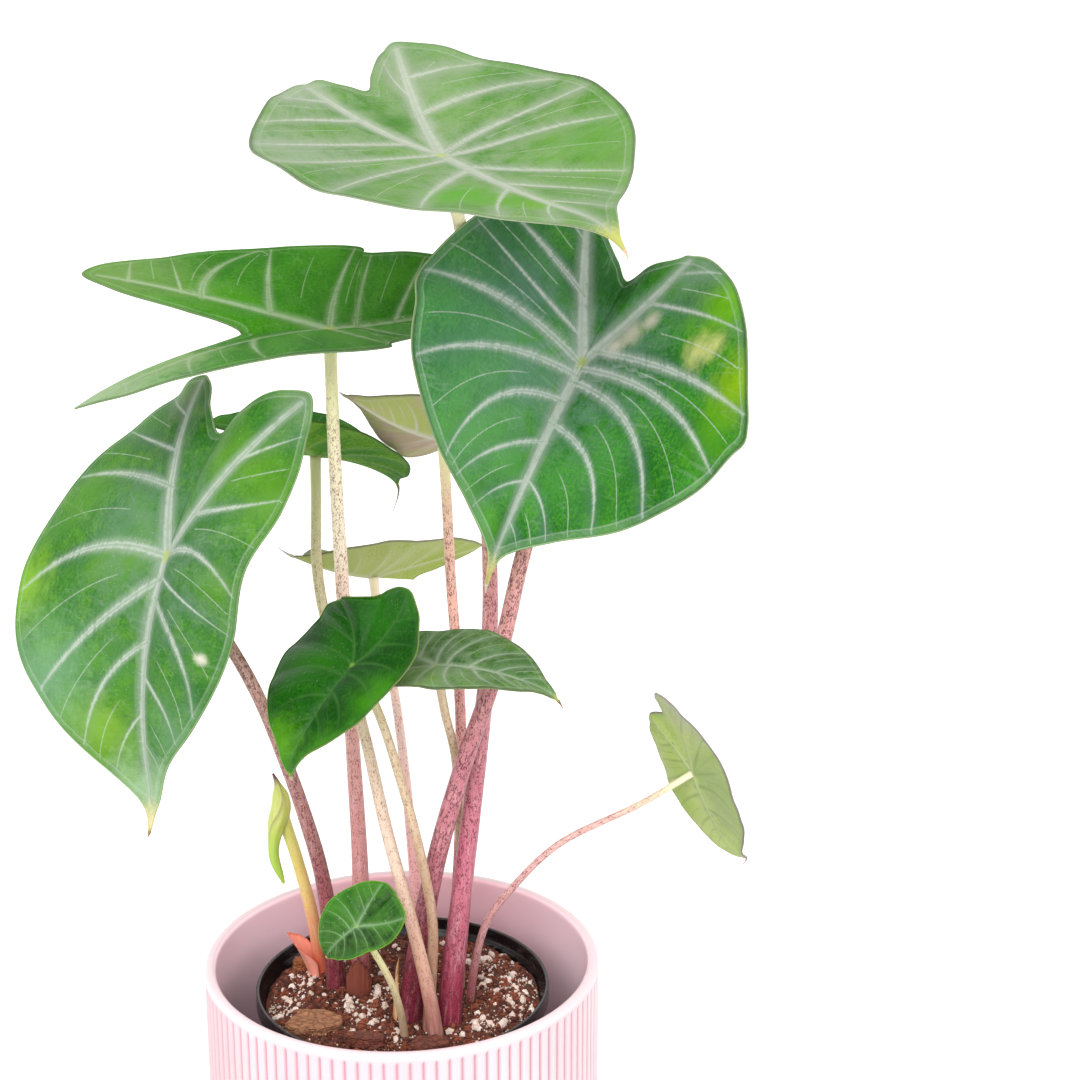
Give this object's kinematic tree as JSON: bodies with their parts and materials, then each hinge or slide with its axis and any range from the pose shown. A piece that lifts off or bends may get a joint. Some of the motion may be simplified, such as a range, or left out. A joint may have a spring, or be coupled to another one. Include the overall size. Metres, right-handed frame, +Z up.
{
  "type": "potted ivory coast alocasia",
  "caption": "Potted alocasia: heart-shaped blades with pale veins on slim stalks, in bark mix in a black nursery pot inside a fluted pale pink ceramic cover pot.",
  "frame": {"origin": "centre of the cover pot's underside, where it stands on the surface", "axes": "+Z up along the pot's axis, +X to the viewer's right, +Y away from the viewer"},
  "size_m": [0.2475, 0.1878, 0.4396],
  "materials": {
    "ceramic": "satin glazed ceramic, pale pink, near white on the ridges",
    "black_plastic": "glossy black moulded plastic",
    "potting_mix": "moist red-brown coir and fine bark with white perlite",
    "bark": "dull bark chunks, tan to red-brown",
    "leaf": "satin green blade with silver-white veins and a paler underside",
    "leaf_stalk": "satin pink to beige stalk with small dark speckles",
    "young_leaf": "smooth yellow-green rolled leaf",
    "sheath": "thin papery sheath, salmon pink to dry brown"
  },
  "bodies": {
    "root": {"cover_pot": "ceramic", "nursery_pot": "black_plastic", "potting_soil": "potting_mix", "bark_large": "bark", "bark_red": "bark", "bark_front": "bark", "bark_back": "bark", "blade_top": "leaf", "blade_right": "leaf", "blade_left_big": "leaf", "blade_left_flat": "leaf", "blade_centre": "leaf", "blade_behind_centre": "leaf", "blade_arched": "leaf", "blade_far_pale": "leaf", "blade_far_low": "leaf", "blade_side": "leaf", "blade_low_round": "leaf", "stalk_top": "leaf_stalk", "stalk_right": "leaf_stalk", "stalk_left_big": "leaf_stalk", "stalk_left_flat": "leaf_stalk", "stalk_centre": "leaf_stalk", "stalk_behind_centre": "leaf_stalk", "stalk_arched": "leaf_stalk", "stalk_far_pale": "leaf_stalk", "stalk_far_low": "leaf_stalk", "stalk_side": "leaf_stalk", "stalk_low_round": "leaf_stalk", "young_leaf": "young_leaf", "stalk_young": "leaf_stalk", "salmon_sheath": "sheath", "dry_sheath": "sheath", "thin_sheath": "sheath"}
  },
  "joints": []
}
